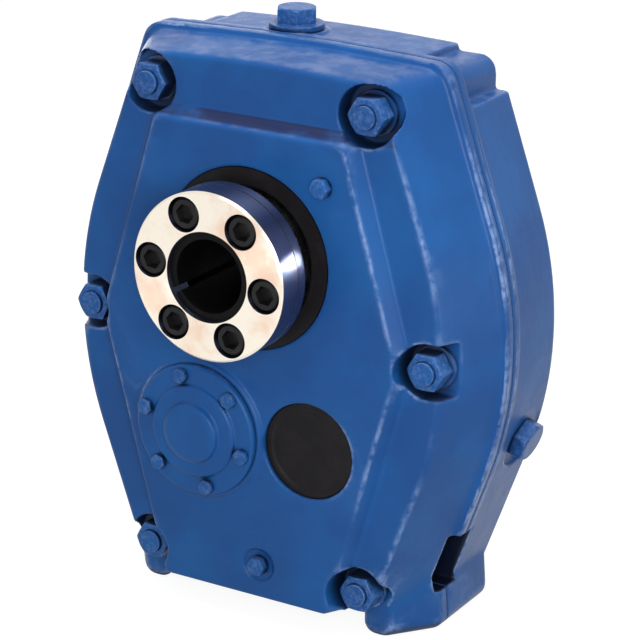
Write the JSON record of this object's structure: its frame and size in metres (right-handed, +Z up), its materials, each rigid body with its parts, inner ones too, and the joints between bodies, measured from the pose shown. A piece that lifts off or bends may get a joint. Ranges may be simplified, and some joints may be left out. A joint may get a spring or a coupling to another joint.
{
  "type": "helical gear reducer",
  "caption": "Shaft-mounted helical gear reducer: bolted bowed case halves, hollow output hub with taper-bush clamp collars, two gear stages and a keyed input shaft.",
  "frame": {"origin": "on the output hub's axis, in the plane where the two case halves part", "axes": "+Y along the output hub from the front face to the input shaft side, +X to the right of the front face, +Z up, away from the feet"},
  "size_m": [0.3354, 0.2593, 0.414],
  "materials": {
    "blue_paint": "semi-gloss enamel over a cast surface, thin at the edges",
    "bright_steel": "turned and polished, bare",
    "black_steel": "black oxide, oiled",
    "ground_steel": "ground",
    "bearing_steel": "ground and lapped",
    "cage_brass": "machined",
    "seal_rubber": "moulded, matt",
    "gasket_sealant": "thin cured film"
  },
  "bodies": {
    "housing": {"front_housing": "blue_paint", "rear_housing": "blue_paint", "case_bolts": "blue_paint", "case_nuts": "blue_paint", "case_washers": "blue_paint", "intermediate_cover": "blue_paint", "cover_bolts": "blue_paint", "breather_plug": "blue_paint", "level_plug": "blue_paint", "drain_plug": "blue_paint", "grease_plug": "blue_paint", "intermediate_end_cap": "blue_paint", "dowel_pins": "ground_steel", "output_front_outer_ring": "bearing_steel", "output_rear_outer_ring": "bearing_steel", "input_front_outer_ring": "bearing_steel", "input_rear_outer_ring": "bearing_steel", "intermediate_front_outer_ring": "bearing_steel", "intermediate_rear_outer_ring": "bearing_steel", "front_output_seal": "seal_rubber", "rear_output_seal": "seal_rubber", "input_seal": "seal_rubber", "input_end_cap": "seal_rubber", "parting_gasket": "gasket_sealant"},
    "output": {"output_hub": "ground_steel", "output_gear_key": "ground_steel", "output_gear": "ground_steel", "gear_spacer": "ground_steel", "front_backing_ring": "bright_steel", "rear_backing_ring": "bright_steel", "front_clamp_collar": "bright_steel", "rear_clamp_collar": "bright_steel", "front_taper_bush": "black_steel", "rear_taper_bush": "black_steel", "front_collar_screws": "black_steel", "rear_collar_screws": "black_steel", "output_front_inner_ring": "bearing_steel", "output_rear_inner_ring": "bearing_steel"},
    "intermediate": {"intermediate_shaft": "ground_steel", "intermediate_gear_key": "ground_steel", "intermediate_gear": "ground_steel", "intermediate_spacer": "ground_steel", "intermediate_front_inner_ring": "bearing_steel", "intermediate_rear_inner_ring": "bearing_steel"},
    "input": {"input_shaft": "ground_steel", "input_front_inner_ring": "bearing_steel", "input_rear_inner_ring": "bearing_steel"},
    "output_front_roller_set": {"output_front_rollers": "bearing_steel", "output_front_cage": "cage_brass"},
    "output_rear_roller_set": {"output_rear_rollers": "bearing_steel", "output_rear_cage": "cage_brass"},
    "input_front_roller_set": {"input_front_rollers": "bearing_steel", "input_front_cage": "cage_brass"},
    "input_rear_roller_set": {"input_rear_rollers": "bearing_steel", "input_rear_cage": "cage_brass"},
    "intermediate_front_roller_set": {"intermediate_front_rollers": "bearing_steel", "intermediate_front_cage": "cage_brass"},
    "intermediate_rear_roller_set": {"intermediate_rear_rollers": "bearing_steel", "intermediate_rear_cage": "cage_brass"}
  },
  "joints": [
    {"name": "output_spin", "type": "hinge", "parent": "housing", "child": "output", "pos_m": [0, 0, 0], "axis": [0, 1, 0], "continuous": true},
    {"name": "intermediate_spin", "type": "hinge", "parent": "housing", "child": "intermediate", "pos_m": [-0.03595, 0, -0.12742], "axis": [0, 1, 0], "continuous": true},
    {"name": "input_spin", "type": "hinge", "parent": "housing", "child": "input", "pos_m": [0.04895, 0, -0.12742], "axis": [0, 1, 0], "continuous": true},
    {"name": "output_front_roller_spin", "type": "hinge", "parent": "housing", "child": "output_front_roller_set", "pos_m": [0, 0, 0], "axis": [0, 1, 0], "continuous": true},
    {"name": "output_rear_roller_spin", "type": "hinge", "parent": "housing", "child": "output_rear_roller_set", "pos_m": [0, 0, 0], "axis": [0, 1, 0], "continuous": true},
    {"name": "input_front_roller_spin", "type": "hinge", "parent": "housing", "child": "input_front_roller_set", "pos_m": [0.04895, 0, -0.12742], "axis": [0, 1, 0], "continuous": true},
    {"name": "input_rear_roller_spin", "type": "hinge", "parent": "housing", "child": "input_rear_roller_set", "pos_m": [0.04895, 0, -0.12742], "axis": [0, 1, 0], "continuous": true},
    {"name": "intermediate_front_roller_spin", "type": "hinge", "parent": "housing", "child": "intermediate_front_roller_set", "pos_m": [-0.03595, 0, -0.12742], "axis": [0, 1, 0], "continuous": true},
    {"name": "intermediate_rear_roller_spin", "type": "hinge", "parent": "housing", "child": "intermediate_rear_roller_set", "pos_m": [-0.03595, 0, -0.12742], "axis": [0, 1, 0], "continuous": true}
  ],
  "couplings": [
    {"joint": "intermediate_spin", "follows": "output_spin", "ratio": -4.0588},
    {"joint": "input_spin", "follows": "output_spin", "ratio": 11.79},
    {"joint": "output_front_roller_spin", "follows": "output_spin", "ratio": 0.44792},
    {"joint": "output_rear_roller_spin", "follows": "output_spin", "ratio": 0.44792},
    {"joint": "input_front_roller_spin", "follows": "output_spin", "ratio": 5.1308},
    {"joint": "input_rear_roller_spin", "follows": "output_spin", "ratio": 5.1308},
    {"joint": "intermediate_front_roller_spin", "follows": "output_spin", "ratio": -1.7663},
    {"joint": "intermediate_rear_roller_spin", "follows": "output_spin", "ratio": -1.7663}
  ]
}
